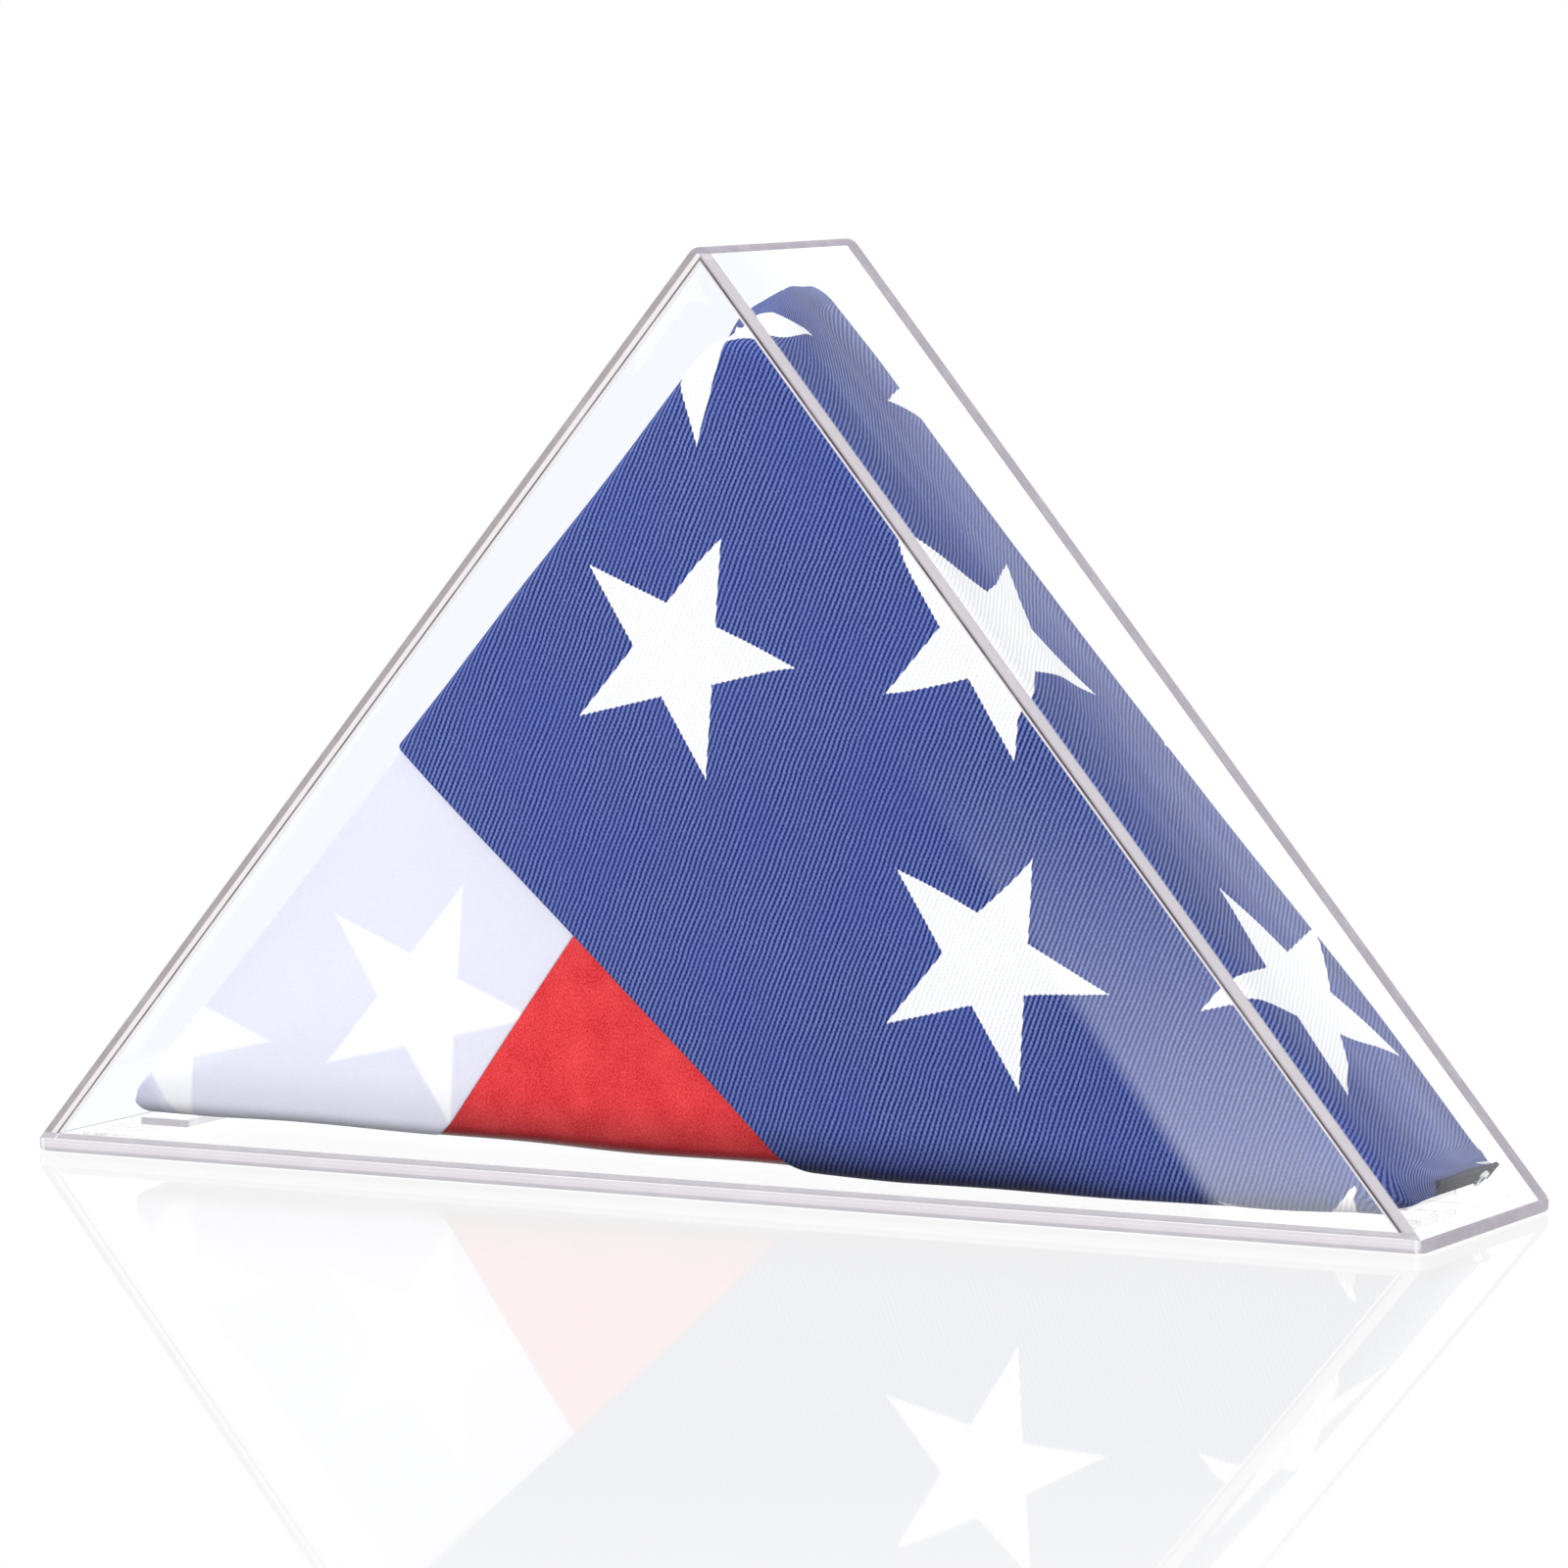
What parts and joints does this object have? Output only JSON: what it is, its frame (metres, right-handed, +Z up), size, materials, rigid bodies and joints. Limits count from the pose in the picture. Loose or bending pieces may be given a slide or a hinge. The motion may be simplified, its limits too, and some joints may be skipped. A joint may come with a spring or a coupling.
{
  "type": "folded flag display case",
  "caption": "Clear triangular display case for a folded flag: bonded roof-shaped cover that lifts off a flat base with a locating step, holding a triangle-folded flag",
  "frame": {"origin": "centre of the underside of the base plate", "axes": "+Z up, front pane faces -Y, +X to the right of someone looking at the front"},
  "size_m": [0.34, 0.071, 0.2065],
  "materials": {
    "clear_sheet": "polished clear sheet",
    "blue_cloth": "twill woven cloth with printed white stars",
    "white_cloth": "satin woven cloth",
    "red_cloth": "satin woven cloth",
    "heading_cloth": "dark canvas strip",
    "grommet_metal": "nickel-plated eyelet"
  },
  "bodies": {
    "base": {"base_plate": "clear_sheet", "base_step": "clear_sheet", "flag_rest_left": "clear_sheet", "flag_rest_right": "clear_sheet"},
    "cover": {"left_wall": "clear_sheet", "right_wall": "clear_sheet", "front_pane": "clear_sheet", "back_pane": "clear_sheet"},
    "flag": {"flag_canton_bundle": "blue_cloth", "flag_canton_pocket_fold": "blue_cloth", "flag_white_stripe": "white_cloth", "flag_red_stripe": "red_cloth", "flag_heading": "heading_cloth", "flag_grommet": "grommet_metal"}
  },
  "joints": [
    {"name": "cover_lift", "type": "slide", "parent": "base", "child": "cover", "axis": [0, 0, 1], "range_m": [0, 0.22]},
    {"name": "flag_lift", "type": "slide", "parent": "base", "child": "flag", "axis": [0, 0, 1], "range_m": [0, 0.099]}
  ],
  "couplings": [
    {"joint": "flag_lift", "follows": "cover_lift", "ratio": 0.45}
  ]
}
